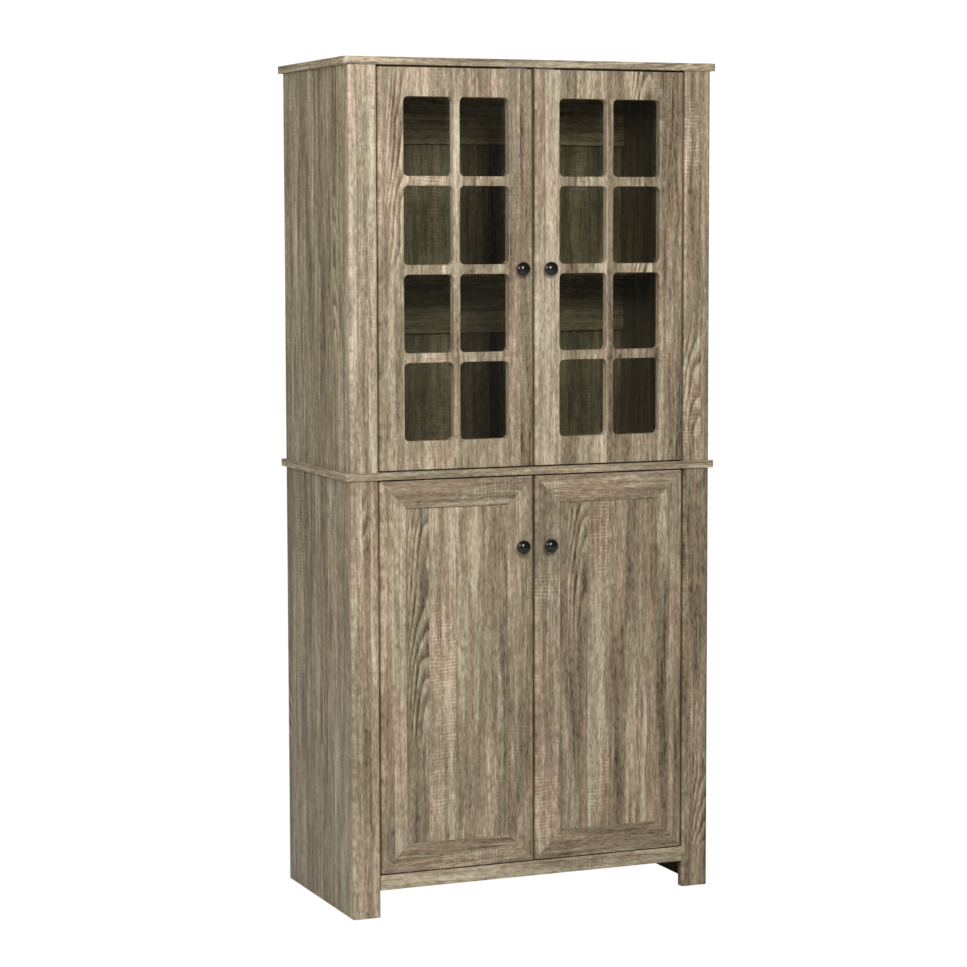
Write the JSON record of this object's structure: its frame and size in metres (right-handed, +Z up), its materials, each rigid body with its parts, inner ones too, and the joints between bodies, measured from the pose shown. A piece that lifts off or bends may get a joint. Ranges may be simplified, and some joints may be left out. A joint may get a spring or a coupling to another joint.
{
  "type": "pantry cabinet",
  "caption": "Tall free-standing cupboard: glazed doors with square panes above a middle board, sunk-panel doors below, round knobs.",
  "frame": {"origin": "on the floor, under the middle of the whole cabinet's box, knobs included", "axes": "+X to the right of a person facing the doors, +Y to the back, +Z up"},
  "size_m": [0.8, 0.42, 1.69],
  "materials": {
    "oak_upright": "satin grey-oak foil on particle board, grain upright",
    "oak_level": "satin grey-oak foil on particle board, grain level",
    "back_board": "printed hardboard, oak pattern inside",
    "glass": "clear float glass",
    "black_metal": "semi-gloss black",
    "zinc_steel": "zinc plated",
    "nylon": "white nylon",
    "magnet": "dark ferrite",
    "beech": "bare fluted beech"
  },
  "bodies": {
    "case": {"back_nails": "zinc_steel", "bottom_board": "oak_level", "bottom_rail": "oak_level", "cam_bolts": "zinc_steel", "cam_locks": "zinc_steel", "catch_housings": "nylon", "catch_magnets": "magnet", "catch_screws": "zinc_steel", "lower_back": "back_board", "lower_back_rail": "oak_level", "lower_shelf": "oak_level", "lower_side_left": "oak_upright", "lower_side_right": "oak_upright", "lower_stile_left": "oak_upright", "lower_stile_right": "oak_upright", "middle_back_rail": "oak_level", "middle_board": "oak_level", "pivot_bushes": "nylon", "shelf_pins": "zinc_steel", "top_back_rail": "oak_level", "top_board": "oak_level", "upper_back": "back_board", "upper_shelf": "oak_level", "upper_side_left": "oak_upright", "upper_side_right": "oak_upright", "upper_stile_left": "oak_upright", "upper_stile_right": "oak_upright", "wood_dowels": "beech"},
    "upper_left_door": {"clip_screws_left": "zinc_steel", "door_screws_upper_left": "zinc_steel", "door_upper_left": "oak_upright", "glass_clips_left": "nylon", "glass_left": "glass", "knob_screw_upper_left": "zinc_steel", "knob_upper_left": "black_metal", "pivot_leaves_upper_left": "zinc_steel", "strike_plate_upper_left": "zinc_steel"},
    "upper_right_door": {"clip_screws_right": "zinc_steel", "door_screws_upper_right": "zinc_steel", "door_upper_right": "oak_upright", "glass_clips_right": "nylon", "glass_right": "glass", "knob_screw_upper_right": "zinc_steel", "knob_upper_right": "black_metal", "pivot_leaves_upper_right": "zinc_steel", "strike_plate_upper_right": "zinc_steel"},
    "lower_left_door": {"door_lower_left": "oak_upright", "door_screws_lower_left": "zinc_steel", "knob_lower_left": "black_metal", "knob_screw_lower_left": "zinc_steel", "pivot_leaves_lower_left": "zinc_steel", "strike_plate_lower_left": "zinc_steel"},
    "lower_right_door": {"door_lower_right": "oak_upright", "door_screws_lower_right": "zinc_steel", "knob_lower_right": "black_metal", "knob_screw_lower_right": "zinc_steel", "pivot_leaves_lower_right": "zinc_steel", "strike_plate_lower_right": "zinc_steel"}
  },
  "joints": [
    {"name": "upper_left_door_hinge", "type": "hinge", "parent": "case", "child": "upper_left_door", "pos_m": [-0.321, -0.176, 0.888], "axis": [0, 0, -1], "range_deg": [0, 100]},
    {"name": "upper_right_door_hinge", "type": "hinge", "parent": "case", "child": "upper_right_door", "pos_m": [0.321, -0.176, 0.888], "axis": [0, 0, 1], "range_deg": [0, 100]},
    {"name": "lower_left_door_hinge", "type": "hinge", "parent": "case", "child": "lower_left_door", "pos_m": [-0.321, -0.176, 0.087], "axis": [0, 0, -1], "range_deg": [0, 100]},
    {"name": "lower_right_door_hinge", "type": "hinge", "parent": "case", "child": "lower_right_door", "pos_m": [0.321, -0.176, 0.087], "axis": [0, 0, 1], "range_deg": [0, 100]}
  ]
}
